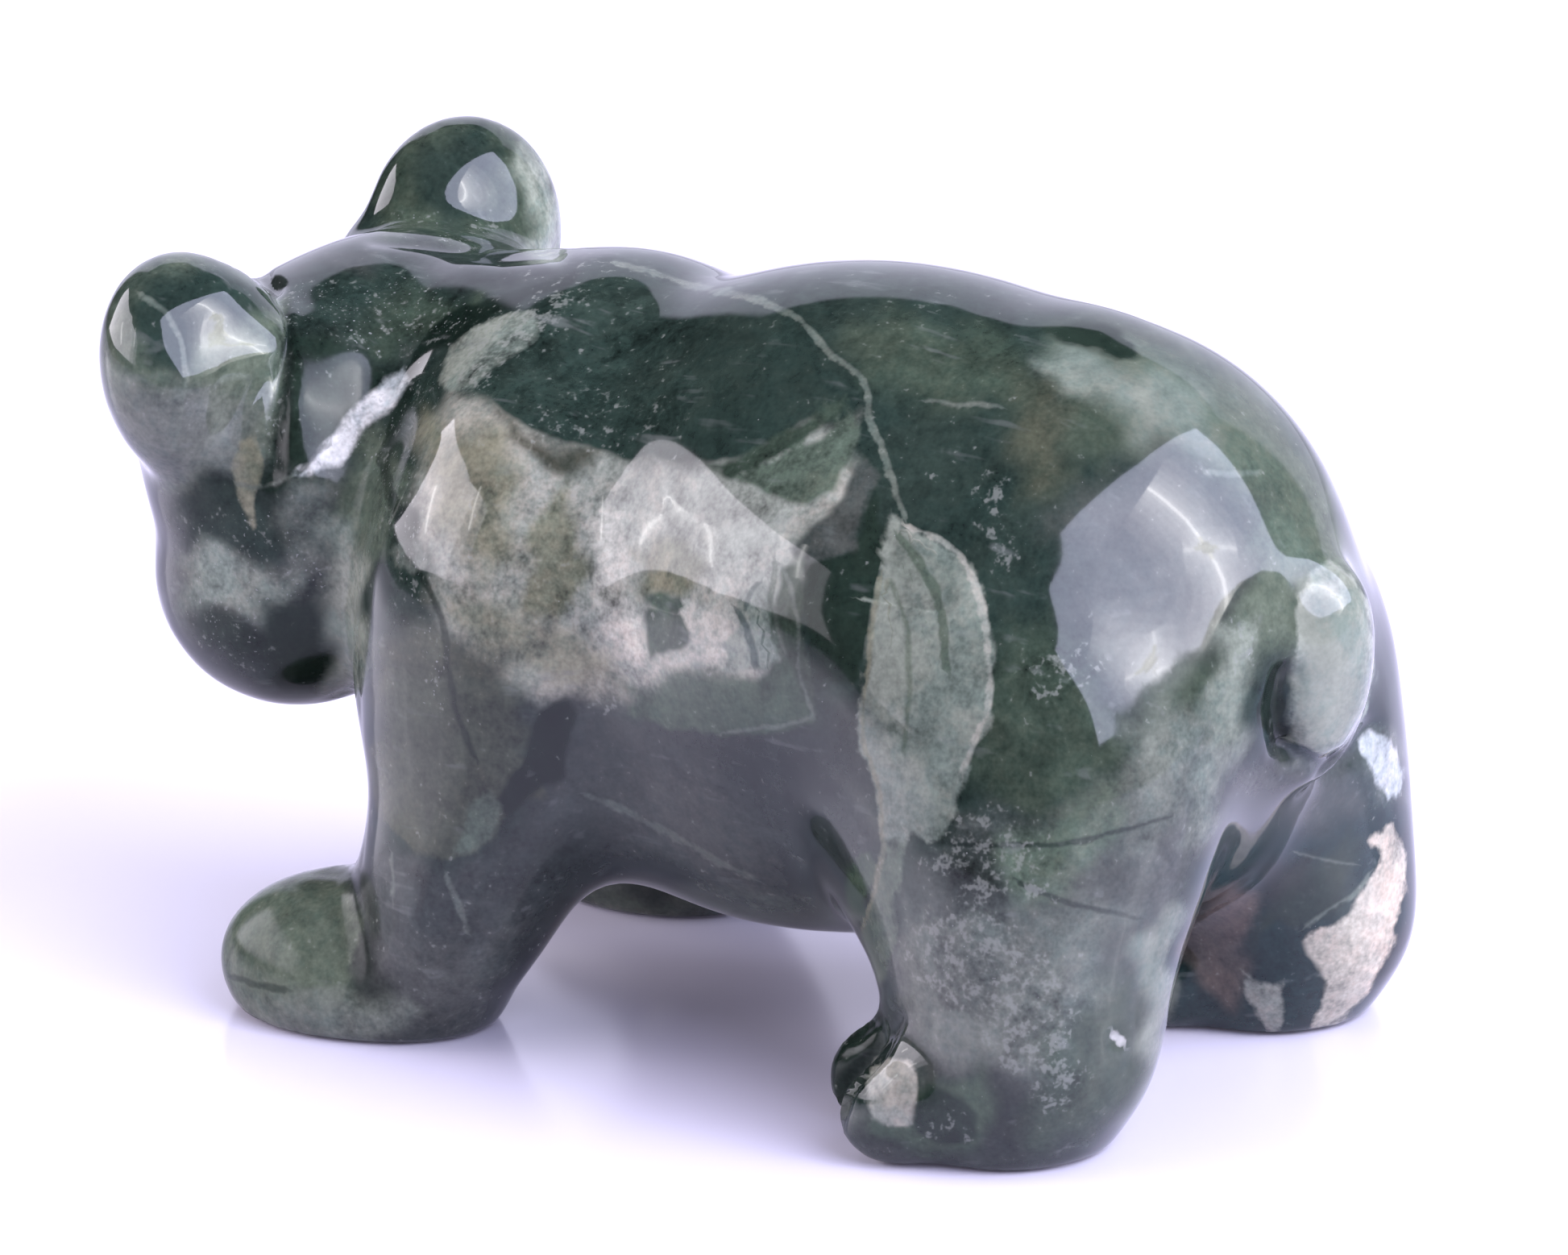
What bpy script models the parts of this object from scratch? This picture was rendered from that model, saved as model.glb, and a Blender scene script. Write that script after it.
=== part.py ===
"""Walking panda carved from one piece of polished green-grey stone.

The animal faces -Y, its own left side is +X and its soles lie on z = 0.
It is modelled the way a carver roughs out a block: large rounded masses
first, then the head, then the small forms, each stage worked into the last.
"""
import math

import bmesh
import bpy
from mathutils import Matrix, Vector

# Driving size: rump to nose, in metres
OVERALL_LENGTH = 0.050

# The figure is LENGTH_IN_MODULES modules long, and every other size is a count
# of modules, so the whole carving keeps its proportions
LENGTH_IN_MODULES = 57.55
MODULE = OVERALL_LENGTH / LENGTH_IN_MODULES

# Stance
HIND_STANCE = 9.8
HIND_STRIDE = 1.2
LEFT_PAW_OUT = 11.0
RIGHT_PAW_OUT = 9.0
BACK_HEIGHT = 32.0
SHOULDER_HEIGHT = 31.0
FLANK_OUT = 7.4
BELLY_CLEARANCE = 4.2

# Head, ears and tail
HEAD_WIDTH = 25.0
HEAD_HEIGHT = 18.6
HEAD_CENTRE = (0.0, -22.4, 20.8)
HEAD_LEAN = 5.0
HEAD_NOD = 20.0
EAR_SPACING = 20.0
EAR_RADIUS = 5.1
TAIL_LENGTH = 9.6
TAIL_WIDTH = 5.4

# Toes: the fan in degrees, the half spread, the reach past the ankle and how
# far the outermost toes stand back from the middle ones
TOES = 4
TOE_FAN = 20.0
TOE_SPREAD = 3.1
TOE_REACH = 4.6
TOE_SETBACK = 2.6
TOE_GROOVE = 0.42

# Working of the stone: grid of each stage and rounds of smoothing
ROUGH_GRID = 0.60
ROUGH_ROUNDS = 36
SHAPE_GRID = 0.50
SHAPE_ROUNDS = 7
FINE_GRID = 0.40
FINE_ROUNDS = 3
POLISH_ROUNDS = 2
FACET_BUDGET = 9300

STONE_COLOUR = (0.055, 0.080, 0.068, 1.0)
STONE_ROUGHNESS = 0.12


def clear_scene():
    for old in list(bpy.data.objects):
        bpy.data.objects.remove(old, do_unlink=True)
    for old in list(bpy.data.collections):
        bpy.data.collections.remove(old)


def new_collection(name, hidden=False):
    group = bpy.data.collections.new(name)
    group.hide_render = hidden
    bpy.context.scene.collection.children.link(group)
    return group


def mass(form, at, radii, tilt=0.0, turn=0.0, lean=0.0):
    """Adds one egg-shaped mass; angles in degrees about X, Z and Y."""
    place = Matrix.Translation(Vector(at) * MODULE)
    rotate = Matrix.Rotation(math.radians(turn), 4, "Z")
    rotate = rotate @ Matrix.Rotation(math.radians(lean), 4, "Y")
    rotate = rotate @ Matrix.Rotation(math.radians(tilt), 4, "X")
    scale = Matrix.Diagonal((*(Vector(radii) * MODULE), 1.0))
    bmesh.ops.create_icosphere(
        form, subdivisions=4, radius=1.0, matrix=place @ rotate @ scale
    )


def limb(form, start, end, start_radius, end_radius):
    """Adds a tapered round limb between two joints, with rounded ends."""
    first = Vector(start) * MODULE
    last = Vector(end) * MODULE
    axis = last - first
    turn = Vector((0, 0, 1)).rotation_difference(axis).to_matrix().to_4x4()
    place = Matrix.Translation((first + last) / 2) @ turn
    bmesh.ops.create_cone(
        form,
        cap_ends=True,
        segments=40,
        radius1=start_radius * MODULE,
        radius2=end_radius * MODULE,
        depth=axis.length,
        matrix=place,
    )
    mass(form, start, (start_radius,) * 3)
    mass(form, end, (end_radius,) * 3)


def as_object(form, name, group):
    mesh = bpy.data.meshes.new(name)
    form.to_mesh(mesh)
    form.free()
    thing = bpy.data.objects.new(name, mesh)
    group.objects.link(thing)
    return thing


def worked(thing):
    """Returns the mesh of an object with its modifiers carried out."""
    bpy.context.view_layer.update()
    graph = bpy.context.evaluated_depsgraph_get()
    return bpy.data.meshes.new_from_object(thing.evaluated_get(graph))


def work_together(stage, block, grid, rounds, group, cutter=None):
    """Fuses a stage's masses with the block so far and rubs its joints down."""
    form = bmesh.new()
    stage(form)
    if block:
        form.from_mesh(block)
        bpy.data.meshes.remove(block)
    thing = as_object(form, "roughed block", group)
    fuse = thing.modifiers.new("fuse", "REMESH")
    fuse.mode = "VOXEL"
    fuse.voxel_size = grid * MODULE
    rub = thing.modifiers.new("rub", "SMOOTH")
    rub.factor = 0.5
    rub.iterations = rounds
    if cutter:
        cut_away(thing, cutter)
    block = worked(thing)
    bpy.data.objects.remove(thing, do_unlink=True)
    return block


def rough_body(form):
    """Barrel, rump, flanks, shoulders, neck and the four legs."""
    half_depth = (BACK_HEIGHT - BELLY_CLEARANCE) / 2
    middle = BELLY_CLEARANCE + half_depth
    mass(form, (0, 2.0, middle), (13.2, 17.6, half_depth))
    mass(form, (0, 10.4, 18.8), (12.0, 12.0, 12.3))
    mass(form, (1.0, -0.5, BELLY_CLEARANCE + 7.7), (10.4, 12.0, 7.8))
    mass(form, (0, -7.0, 12.6), (10.6, 8.6, 8.0))
    mass(form, (-0.5, 12.5, 12.5), (7.5, 7.5, 6.5))
    mass(form, (0, -11.6, SHOULDER_HEIGHT - 12.2), (12.4, 9.6, 12.2))
    mass(form, (0, -16.0, 21.0), (9.0, 9.0, 9.4))
    for side in (1, -1):
        back = 0.0 if side > 0 else HIND_STRIDE
        mass(form, (FLANK_OUT * side, 4.8, 19.2), (6.8, 10.2, 8.6))
        mass(form, (7.6 * side, 12.4, 14.0), (7.0, 8.8, 10.6), tilt=4)
        mass(form, (4.8 * side, 16.0, 17.5), (5.2, 5.5, 6.4))
        hip = (8.6 * side, 13.6 + back / 2, 11.0)
        heel = (HIND_STANCE * side, 14.4 + back, 4.6)
        limb(form, hip, heel, 6.8, 5.6)
        mass(form, (8.3 * side, -10.5, 16.5), (6.6, 7.4, 11.5), tilt=-6)
    limb(form, (9.0, -9.5, 13.0), (LEFT_PAW_OUT, -12.6, 4.8), 5.6, 4.4)
    limb(form, (-9.0, -9.0, 13.0), (-RIGHT_PAW_OUT, -11.6, 4.8), 5.6, 4.4)


def on_head(offset, nod=0.0):
    """Places a point given from the middle of the head, which leans a little."""
    turn = Matrix.Rotation(math.radians(HEAD_LEAN), 3, "Y")
    turn = turn @ Matrix.Rotation(math.radians(nod), 3, "X")
    return tuple(Vector(HEAD_CENTRE) + turn @ Vector(offset))


def on_face(offset):
    """Places a point on the face, which looks ahead and down."""
    return on_head(offset, HEAD_NOD)


def hind_ankle(side):
    """Returns the middle of a hind ankle; the right leg is a stride behind."""
    stride = 0.0 if side > 0 else HIND_STRIDE
    return (HIND_STANCE * side, 13.6 + stride, 2.4)


def shape_head_and_feet(form):
    """Skull, temples, cheeks, snout, ear roots and paws."""
    across = HEAD_WIDTH / 2
    upright = HEAD_HEIGHT / 2
    mass(form, HEAD_CENTRE, (across, 9.0, upright), tilt=HEAD_NOD, lean=HEAD_LEAN)
    mass(form, on_face((0, -6.4, -3.4)), (5.2, 5.6, 4.4), tilt=HEAD_NOD, lean=HEAD_LEAN)
    for side in (1, -1):
        ankle_x, ankle_y, _ = hind_ankle(side)
        mass(form, on_head((7.0 * side, -0.6, -3.2)), (5.6, 6.2, 5.8))
        mass(form, on_head((7.7 * side, -0.9, 1.5)), (5.0, 5.7, 5.4))
        mass(form, on_head((7.6 * side, -4.2, 4.6)), (4.2, 3.2, 3.6), lean=32 * side)
        mass(form, (ankle_x, ankle_y - 0.2, 2.6), (5.4, 5.4, 4.4))
    mass(form, (LEFT_PAW_OUT, -16.6, 2.0), (4.8, 6.6, 4.2), turn=8)
    mass(form, (-RIGHT_PAW_OUT, -15.6, 2.0), (4.8, 6.6, 4.2), turn=-8)


def fan_toes(form, ankle, places, radii):
    """Adds one slanting egg shape at each place, counted from -1 to 1."""
    x, y, z = ankle
    for share in places:
        spread = math.radians(TOE_FAN * share)
        across = x + TOE_SPREAD * share + TOE_REACH * math.sin(spread)
        along = y - TOE_REACH * math.cos(spread) + TOE_SETBACK * share ** 2
        mass(form, (across, along, z), radii, tilt=26, turn=TOE_FAN * share)


def carve_details(form):
    """Ears, nose, tail and toes."""
    for side in (1, -1):
        mass(
            form,
            on_head((EAR_SPACING / 2 * side, -2.9, 6.3)),
            (EAR_RADIUS - 0.3, 3.5, EAR_RADIUS + 0.2),
            tilt=14,
            turn=22 * side,
            lean=32 * side + HEAD_LEAN,
        )
    mass(form, on_face((0, -11.4, -1.8)), (1.9, 1.3, 1.3), tilt=HEAD_NOD, lean=HEAD_LEAN)
    mass(form, (-0.5, 19.4, 20.6), (TAIL_WIDTH / 2 + 0.6, 3.0, 4.0), tilt=20)
    mass(form, (-0.5, 21.8, 17.8), (TAIL_WIDTH / 2, 1.9, TAIL_LENGTH / 2), tilt=-8)
    toes = [(2 * place + 1 - TOES) / (TOES - 1) for place in range(TOES)]
    for side in (1, -1):
        fan_toes(form, hind_ankle(side), toes, (1.55, 3.2, 2.4))


def set_eyes(form):
    """Small domes left standing in the eye sockets."""
    for side in (1, -1):
        mass(form, on_face((4.2 * side, -8.1, 1.3)), (1.3, 1.2, 1.3))


def saw_line(form, at, radius, thickness, sweep):
    """Adds a bent bar that saws a line across the front of the snout."""
    place = Matrix.Translation(Vector(at) * MODULE)
    place = place @ Matrix.Rotation(math.radians(HEAD_LEAN), 4, "Y")
    place = place @ Matrix.Rotation(math.radians(HEAD_NOD), 4, "X")
    place = place @ Matrix.Rotation(math.radians(-90 - sweep / 2), 4, "Z")
    start = place @ Matrix.Translation((radius * MODULE, 0, 0))
    start = start @ Matrix.Rotation(math.radians(90), 4, "X")
    circle = bmesh.ops.create_circle(
        form, cap_ends=True, segments=10, radius=thickness * MODULE, matrix=start
    )
    faces = {face for vert in circle["verts"] for face in vert.link_faces}
    edges = {edge for face in faces for edge in face.edges}
    bmesh.ops.spin(
        form,
        geom=list(faces) + list(edges) + circle["verts"],
        cent=place.translation,
        axis=place.to_3x3() @ Vector((0, 0, 1)),
        angle=math.radians(sweep),
        steps=24,
    )


def carving_tools(group):
    """Ear dishes, eye sockets, toe grooves and a saw line for the mouth."""
    form = bmesh.new()
    saw_line(form, on_face((0, -6.6, -5.0)), 4.8, 0.75, 140)
    between_toes = [(2 * place - TOES) / (TOES - 1) for place in range(1, TOES)]
    for side in (1, -1):
        mass(form, on_face((4.3 * side, -9.5, 1.3)), (2.3, 1.7, 2.1))
        fan_toes(form, hind_ankle(side), between_toes, (TOE_GROOVE, 3.6, 3.0))
        mass(
            form,
            on_head((EAR_SPACING / 2 * side, -6.5, 6.3)),
            (EAR_RADIUS - 2.0, 1.9, EAR_RADIUS - 1.6),
            tilt=14,
            turn=22 * side,
            lean=32 * side + HEAD_LEAN,
        )
    bmesh.ops.recalc_face_normals(form, faces=form.faces)
    return as_cutter(form, "ear dishes, eye sockets, toe grooves and mouth line", group)


def as_cutter(form, name, group):
    cutter = as_object(form, name, group)
    cutter.display_type = "WIRE"
    cutter.hide_render = True
    return cutter


def cut_away(thing, cutter):
    cut = thing.modifiers.new(cutter.name, "BOOLEAN")
    cut.operation = "DIFFERENCE"
    cut.solver = "EXACT"
    cut.object = cutter


def centre_over_origin(block):
    """Slides the block so that its outline is centred on X = 0 and Y = 0."""
    spots = [vertex.co for vertex in block.vertices]
    middle = [(min(s[axis] for s in spots) + max(s[axis] for s in spots)) / 2
              for axis in (0, 1)]
    block.transform(Matrix.Translation((-middle[0], -middle[1], 0)))


def finish(block, name, group, cutters):
    """Facets the skin and grinds the soles flat."""
    skin = bpy.data.objects.new(name, block)
    group.objects.link(skin)
    facet = skin.modifiers.new("facet", "DECIMATE")
    facet.ratio = FACET_BUDGET / (2 * len(skin.data.polygons))
    faceted = worked(skin)
    centre_over_origin(faceted)
    skin.modifiers.clear()
    skin.data = faceted
    wheel = bmesh.new()
    bmesh.ops.create_cube(wheel, size=4 * OVERALL_LENGTH)
    bmesh.ops.translate(wheel, verts=wheel.verts, vec=(0, 0, -2 * OVERALL_LENGTH))
    cut_away(skin, as_cutter(wheel, "grinding plane", cutters))
    return skin


def stone():
    material = bpy.data.materials.new("polished green-grey stone")
    material.use_nodes = True
    shader = material.node_tree.nodes["Principled BSDF"]
    shader.inputs["Base Color"].default_value = STONE_COLOUR
    shader.inputs["Roughness"].default_value = STONE_ROUGHNESS
    shader.inputs["Metallic"].default_value = 0.0
    return material


def build():
    clear_scene()
    carving = new_collection("stone panda")
    cutters = new_collection("cutters", hidden=True)
    tools = carving_tools(cutters)
    block = work_together(rough_body, None, ROUGH_GRID, ROUGH_ROUNDS, carving)
    block = work_together(shape_head_and_feet, block, SHAPE_GRID, SHAPE_ROUNDS, carving)
    block = work_together(carve_details, block, FINE_GRID, FINE_ROUNDS, carving, tools)
    block = work_together(set_eyes, block, FINE_GRID, POLISH_ROUNDS, carving)
    panda = finish(block, "panda", carving, cutters)
    panda.data.materials.append(stone())


build()
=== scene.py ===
# %% [markdown]
# # A panda carved from one piece of polished stone
#
# The real object is a small walking animal, cut from a single lump of
# ornamental stone and polished until lamps mirror in it. Two things make such
# a carving convincing in a render: a skin that is truly smooth, so that
# reflections run over it without a wobble, and a stone pattern whose patches,
# veins and flecks sit where they sit on the real one.
#
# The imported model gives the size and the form. This script refines a copy of
# it, paints the stone and sets up a small studio.

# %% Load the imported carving
import math

import bmesh
import bpy
import numpy as np
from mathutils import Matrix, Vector


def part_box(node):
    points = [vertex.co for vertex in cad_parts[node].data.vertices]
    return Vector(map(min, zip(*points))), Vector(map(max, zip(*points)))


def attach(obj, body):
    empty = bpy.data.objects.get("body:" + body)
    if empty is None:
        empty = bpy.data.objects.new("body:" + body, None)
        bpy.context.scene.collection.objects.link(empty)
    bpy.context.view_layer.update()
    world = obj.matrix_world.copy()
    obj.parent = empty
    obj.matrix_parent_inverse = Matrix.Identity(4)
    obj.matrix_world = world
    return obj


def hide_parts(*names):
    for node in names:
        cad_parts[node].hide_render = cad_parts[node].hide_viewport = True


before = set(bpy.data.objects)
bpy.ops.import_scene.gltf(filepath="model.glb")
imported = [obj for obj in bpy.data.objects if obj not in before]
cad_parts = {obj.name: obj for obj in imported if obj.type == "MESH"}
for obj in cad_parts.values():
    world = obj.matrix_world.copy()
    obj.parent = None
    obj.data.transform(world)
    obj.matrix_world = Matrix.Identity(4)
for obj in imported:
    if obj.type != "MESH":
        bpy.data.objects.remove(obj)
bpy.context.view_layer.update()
low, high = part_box("panda")
# The carving was planned 50 mm long, so that a millimetre here is a fiftieth
# of the length that it was packed with.
PLANNED_LENGTH = 50.0
MILLIMETRE = (high.y - low.y) / PLANNED_LENGTH
print("a millimetre here is", round(MILLIMETRE, 8), "m")

# %% [markdown]
# ## The view
#
# Every mark on the stone is placed by where it shows in the reference view,
# so the camera comes first. It stands behind the animal's left shoulder and
# looks slightly down. A long lens a short way off gives the gentle
# perspective of a close product picture. Directions are angles in degrees,
# round from the animal's front and up from the table.

# %% Camera directions
PICTURE_WIDTH = 1946
PICTURE_HEIGHT = 1557
VIEW_ROUND = 122.0
VIEW_UP = 16.5
STAND_OFF = 260.6 * MILLIMETRE
LENS_PIXELS = 9000
SENSOR_WIDTH = 36.0
NEAREST_SEEN = 0.01
AIM = Vector((0.0, 1.68, 13.9)) * MILLIMETRE


def towards(round_degrees, up_degrees):
    """Gives the direction so far round from the animal's front and so far up."""
    around, above = math.radians(round_degrees), math.radians(up_degrees)
    level = math.cos(above)
    return Vector((math.sin(around) * level, -math.cos(around) * level, math.sin(above)))


BACK = towards(VIEW_ROUND, VIEW_UP)
RIGHT = Vector((0, 0, 1)).cross(BACK).normalized()
UP = BACK.cross(RIGHT)
EYE = AIM + BACK * STAND_OFF
PIXEL = STAND_OFF / LENS_PIXELS / MILLIMETRE
print("one picture pixel is", round(PIXEL, 4), "mm on the stone")

# %% Make the camera
camera_data = bpy.data.cameras.new("camera")
camera_data.sensor_width = SENSOR_WIDTH
camera_data.lens = LENS_PIXELS / PICTURE_WIDTH * SENSOR_WIDTH
camera_data.clip_start = NEAREST_SEEN
camera = bpy.data.objects.new("camera", camera_data)
camera.location = EYE
camera.rotation_euler = BACK.to_track_quat("Z", "Y").to_euler()
bpy.context.scene.collection.objects.link(camera)
bpy.context.scene.camera = camera
print("the lens is", round(camera_data.lens, 1), "mm")

# %% [markdown]
# ## A smooth skin
#
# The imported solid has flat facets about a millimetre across. On matt clay
# they would pass, but a polished surface shows every one. So the copy is
# subdivided, which rounds the facets, and then remeshed on an even grid. The
# grid gives the same fine quads everywhere, which later steps can push in and
# paint.
#
# A modifier stack would do this too, but here each step is applied, because
# the swells, the furrows and the paint need the final vertices.

# %% Refine a copy of the solid
GRID = 0.262 * MILLIMETRE
SAME_POINT = 0.005 * MILLIMETRE
FACET_ROUNDING = 2


def applied(thing):
    """Carries out an object's modifiers and keeps the result as its mesh."""
    graph = bpy.context.evaluated_depsgraph_get()
    mesh = bpy.data.meshes.new_from_object(thing.evaluated_get(graph))
    thing.modifiers.clear()
    thing.data = mesh
    return mesh


solid = bmesh.new()
solid.from_mesh(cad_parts["panda"].data)
bmesh.ops.remove_doubles(solid, verts=solid.verts, dist=SAME_POINT)
skin_mesh = bpy.data.meshes.new("polished_panda")
solid.to_mesh(skin_mesh)
solid.free()
panda = bpy.data.objects.new("polished_panda", skin_mesh)
bpy.context.scene.collection.objects.link(panda)
panda.modifiers.new("round the facets", "SUBSURF").levels = FACET_ROUNDING
remesh = panda.modifiers.new("even grid", "REMESH")
remesh.mode = "VOXEL"
remesh.voxel_size = GRID
skin = applied(panda)
print("the skin has", len(skin.polygons), "quads")

# %% [markdown]
# ## Polishing
#
# Smoothing on the fine grid works like a polishing wheel: it takes the
# waviness out of the broad surfaces. The face and the toes would lose their
# shape under so many rounds, so a vertex group holds the wheel back there.

# %% Points and normals as arrays


def vertex_array(mesh, name):
    """Returns one row of three numbers for each vertex."""
    values = np.empty(len(mesh.vertices) * 3)
    mesh.vertices.foreach_get(name, values)
    return values.reshape(-1, 3)


def soft_step(values, start, end):
    """Rises smoothly from 0 at start to 1 at end."""
    share = np.clip((values - start) / (end - start), 0.0, 1.0)
    return share * share * (3 - 2 * share)


# %% Polish the broad surfaces more than the small forms
BROAD_ROUNDS = 45
FINE_ROUNDS = 4
PRESSURE = 0.5
FACE_START, FACE_END = low.y + 5.5 * MILLIMETRE, low.y + 13.5 * MILLIMETRE
TOES_START, TOES_END = 2.2 * MILLIMETRE, 6.2 * MILLIMETRE

points = vertex_array(skin, "co")
not_face = soft_step(points[:, 1], FACE_START, FACE_END)
not_toes = soft_step(points[:, 2], TOES_START, TOES_END)
broad = panda.vertex_groups.new(name="broad")
for index, share in enumerate(not_face * not_toes):
    broad.add([index], float(share), "REPLACE")
for name, rounds, group in (("broad polish", BROAD_ROUNDS, broad.name), ("fine polish", FINE_ROUNDS, "")):
    wheel = panda.modifiers.new(name, "SMOOTH")
    wheel.factor = PRESSURE
    wheel.iterations = rounds
    wheel.vertex_group = group
skin = applied(panda)
panda.vertex_groups.clear()
print("polished", len(skin.vertices), "vertices")

# %% [markdown]
# ## From the picture to the stone
#
# A mark that shows at a certain pixel belongs to the point of the skin behind
# that pixel. A few small tools do this: one gives the pixel of every vertex,
# and others measure how far each vertex lies from a line, or inside an
# outline, drawn in pixels.
#
# The far side of the animal can't be seen in that view. It gets the same
# pattern, turned half round, but without the tail's patch and the painted
# shadow beside the tail. The two fade into each other where the skin turns
# away from the camera.

# %% Measure in the picture plane


def on_picture(places):
    """Returns the pixel column and row of each point."""
    rays = places - np.array(EYE)
    depth = -rays @ np.array(BACK)
    column = PICTURE_WIDTH / 2 + LENS_PIXELS * (rays @ np.array(RIGHT)) / depth
    row = PICTURE_HEIGHT / 2 - LENS_PIXELS * (rays @ np.array(UP)) / depth
    return column, row


def near_route(column, row, route, reach):
    """Picks the pixels in the box round a route, widened by reach."""
    left, top = np.min(route, axis=0) - reach
    right, bottom = np.max(route, axis=0) + reach
    return (column > left) & (column < right) & (row > top) & (row < bottom)


def side_of_line(column, row, route):
    """Measures to the nearest piece of a route: how far, on which side, and how far past an end."""
    nearest = np.full(len(column), math.inf)
    side = np.zeros(len(column))
    past = np.zeros(len(column))
    for number, ((x, y), (x2, y2)) in enumerate(zip(route, route[1:])):
        length = math.hypot(x2 - x, y2 - y)
        along = ((column - x) * (x2 - x) + (row - y) * (y2 - y)) / length
        across = ((column - x) * (y2 - y) - (row - y) * (x2 - x)) / length
        held = np.clip(along, 0.0, length)
        away = np.hypot(across, along - held)
        closer = away < nearest
        nearest = np.where(closer, away, nearest)
        side = np.where(closer, np.where(across < 0, -away, away), side)
        before = -along if number == 0 else np.zeros(len(column))
        after = along - length if number == len(route) - 2 else np.zeros(len(column))
        past = np.where(closer, np.maximum(before, after), past)
    return nearest, side, past


def depth_inside(column, row, outline, reach):
    """Returns how far each pixel lies inside an outline, down to minus reach outside."""
    depth = np.full(len(column), -float(reach))
    close = near_route(column, row, outline, reach)
    x0, y0 = column[close], row[close]
    inside = np.zeros(len(x0), bool)
    for (x, y), (x2, y2) in zip(outline, outline[1:] + outline[:1]):
        if y != y2:
            crosses = (y0 < y) != (y0 < y2)
            inside ^= crosses & (x0 < x + (y0 - y) / (y2 - y) * (x2 - x))
    away = side_of_line(x0, y0, outline + outline[:1])[0]
    depth[close] = np.maximum(np.where(inside, away, -away), -reach)
    return depth


# %% Where the skin lies in the picture
points = vertex_array(skin, "co")
normals = vertex_array(skin, "normal")
facing = normals @ np.array(BACK)
TURNED = np.array((-1.0, -1.0, 1.0))
near_side = on_picture(points)
far_side = on_picture(points * TURNED)
print("vertices in view:", int((facing > 0).sum()))

# %% [markdown]
# ## Shallow swells from the polishing wheel
#
# Mirrored lamps magnify the form: a swell of a tenth of a millimetre can move
# a highlight far across the picture. So the last touches of shape are made
# here, by lifting soft areas along their normals, or pressing them in, until
# the lamps mirror much as they do on the real stone. Each has a middle in the
# picture, a reach across and down in pixels, and a height in millimetres.

# %% Lift the swells
SWELLS = {
    "waist": ((1070, 880), (75, 130), 0.30),
    "front of the haunch": ((1250, 670), (70, 90), 0.14),
    "middle of the haunch": ((1380, 840), (90, 60), 0.08),
    "neck behind the ear": ((358, 490), (40, 90), 0.62),
    "back of the skull": ((405, 500), (45, 80), 0.24),
    "crown": ((400, 425), (60, 40), 0.34),
    "neck furrow": ((475, 490), (40, 50), -0.18),
    "under the neck vein": ((390, 600), (45, 40), 0.40),
    "inner edge of the ear": ((325, 420), (38, 50), 0.64),
    "middle of the ear": ((275, 410), (45, 50), -0.10),
    "top of the ear": ((285, 365), (45, 35), 0.40),
    "outer part of the ear": ((215, 420), (40, 50), -0.16),
    "back of the hump": ((800, 440), (110, 48), -0.30),
    "back of the paw": ((428, 1150), (42, 85), -0.60),
    "flat of the right ear": ((602, 238), (46, 52), -0.06),
    "fall of the back": ((1345, 392), (75, 30), 0.24),
    "root of the tail": ((1640, 715), (45, 45), 0.12),
}
SWELLS_START, SWELLS_FULL = -0.05, 0.15
column, row = near_side
lift = np.zeros(len(points))
for (x, y), (across, down), height in SWELLS.values():
    lift += height * np.exp(-((column - x) / across) ** 2 - ((row - y) / down) ** 2)
lift *= np.clip((facing - SWELLS_START) / (SWELLS_FULL - SWELLS_START), 0.0, 1.0)
points += normals * (lift * MILLIMETRE)[:, None]
print("the largest lift is", round(float(lift.max()), 2), "mm")

# %% [markdown]
# ## Carver's marks
#
# A few furrows are too fine or too shallow for the solid: the hollow of the
# neck, the crease where each ear meets the skull, the clefts between the toes,
# the undercut beside the tail and some chips and pits. Each furrow is a line
# in the picture with a half width in pixels and a depth in millimetres.

# %% Cut the furrows
FURROWS = {
    "neck hollow": ([(700, 340), (620, 372), (540, 412), (496, 464), (440, 550), (412, 620), (405, 690),
        (425, 770), (437, 862)], 40, 0.16),
    "left ear crease": ([(336, 356), (345, 400), (345, 500), (338, 585)], 13, 0.30),
    "left ear notch": ([(330, 348), (345, 360)], 9, 0.25),
    "right ear crease": ([(462, 296), (530, 304), (620, 319), (690, 312)], 9, 0.14),
    "toe cleft": ([(1110, 1265), (1085, 1310), (1050, 1350), (1037, 1388)], 11, 0.30),
    "second toe cleft": ([(1085, 1262), (1062, 1285)], 10, 0.15),
    "tail undercut": ([(1598, 838), (1590, 880), (1597, 930)], 17, 0.50),
    "under the tail tip": ([(1604, 938), (1640, 954), (1680, 938), (1700, 908)], 14, 0.30),
    "large heel chip": ([(1386, 1287), (1393, 1290)], 10, 0.10),
    "small heel chip": ([(1367, 1266), (1371, 1267)], 6, 0.05),
    "shoulder pit": ([(821, 627), (823, 628)], 5, 0.06),
    "cheek pit": ([(309, 712), (311, 713)], 5, 0.06),
    "pit above the vein": ([(434, 517), (436, 523)], 4, 0.05),
}
FURROWS_START, FURROWS_FULL = 0.0, 0.2
NOTICED = 0.1
in_view = soft_step(facing, FURROWS_START, FURROWS_FULL)
push = np.zeros(len(points))
for name, (route, half_width, depth) in FURROWS.items():
    away = side_of_line(column, row, route)[0] / half_width
    furrow = depth * np.exp(-away * away) * in_view
    push += furrow
    print(name, "touches", int((furrow > NOTICED * depth).sum()), "vertices")
points -= normals * (push * MILLIMETRE)[:, None]
points[:, 2] = np.maximum(points[:, 2], low.z)
skin.vertices.foreach_set("co", points.ravel())
skin.update()
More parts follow.
